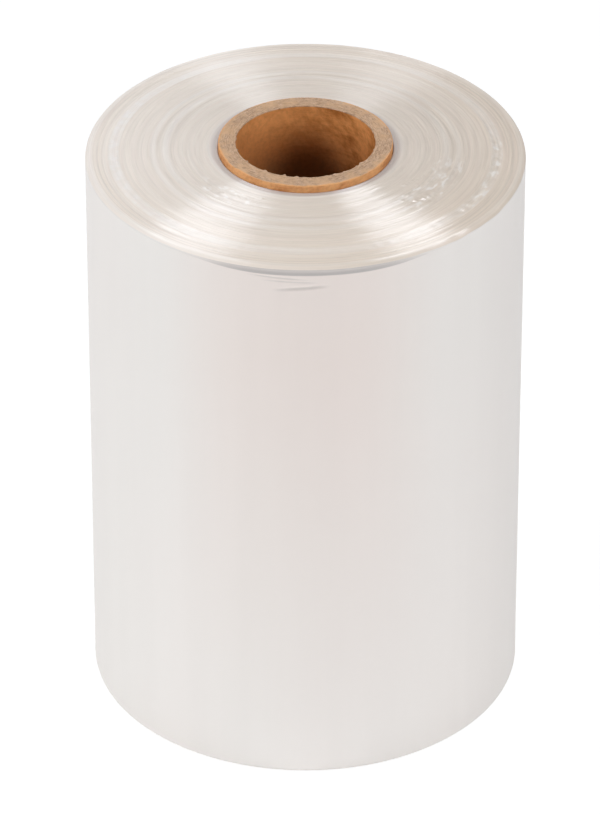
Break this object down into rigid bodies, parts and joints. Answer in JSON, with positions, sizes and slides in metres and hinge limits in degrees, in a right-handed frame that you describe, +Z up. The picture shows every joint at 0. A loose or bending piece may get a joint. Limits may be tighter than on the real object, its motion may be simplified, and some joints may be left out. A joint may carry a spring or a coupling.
{
  "type": "shrink wrap roll",
  "caption": "Round roll of clear shrink film wound on a paperboard core, standing on its end; its bore takes an unwinder's shaft.",
  "frame": {"origin": "on the roll's axis, at the surface it stands on: the lower end of the core and of the outermost turns", "axes": "+Z up along the roll's axis, towards the end where the core stands out; X and Y are alike"},
  "size_m": [0.24, 0.24, 0.337],
  "materials": {
    "film": "clear shrink film wound in many turns, milky white with a satin gloss",
    "paperboard": "brown spiral wound board, grey and fibrous at its cut ends"
  },
  "bodies": {
    "root": {"film_roll": "film", "core": "paperboard"}
  },
  "joints": []
}
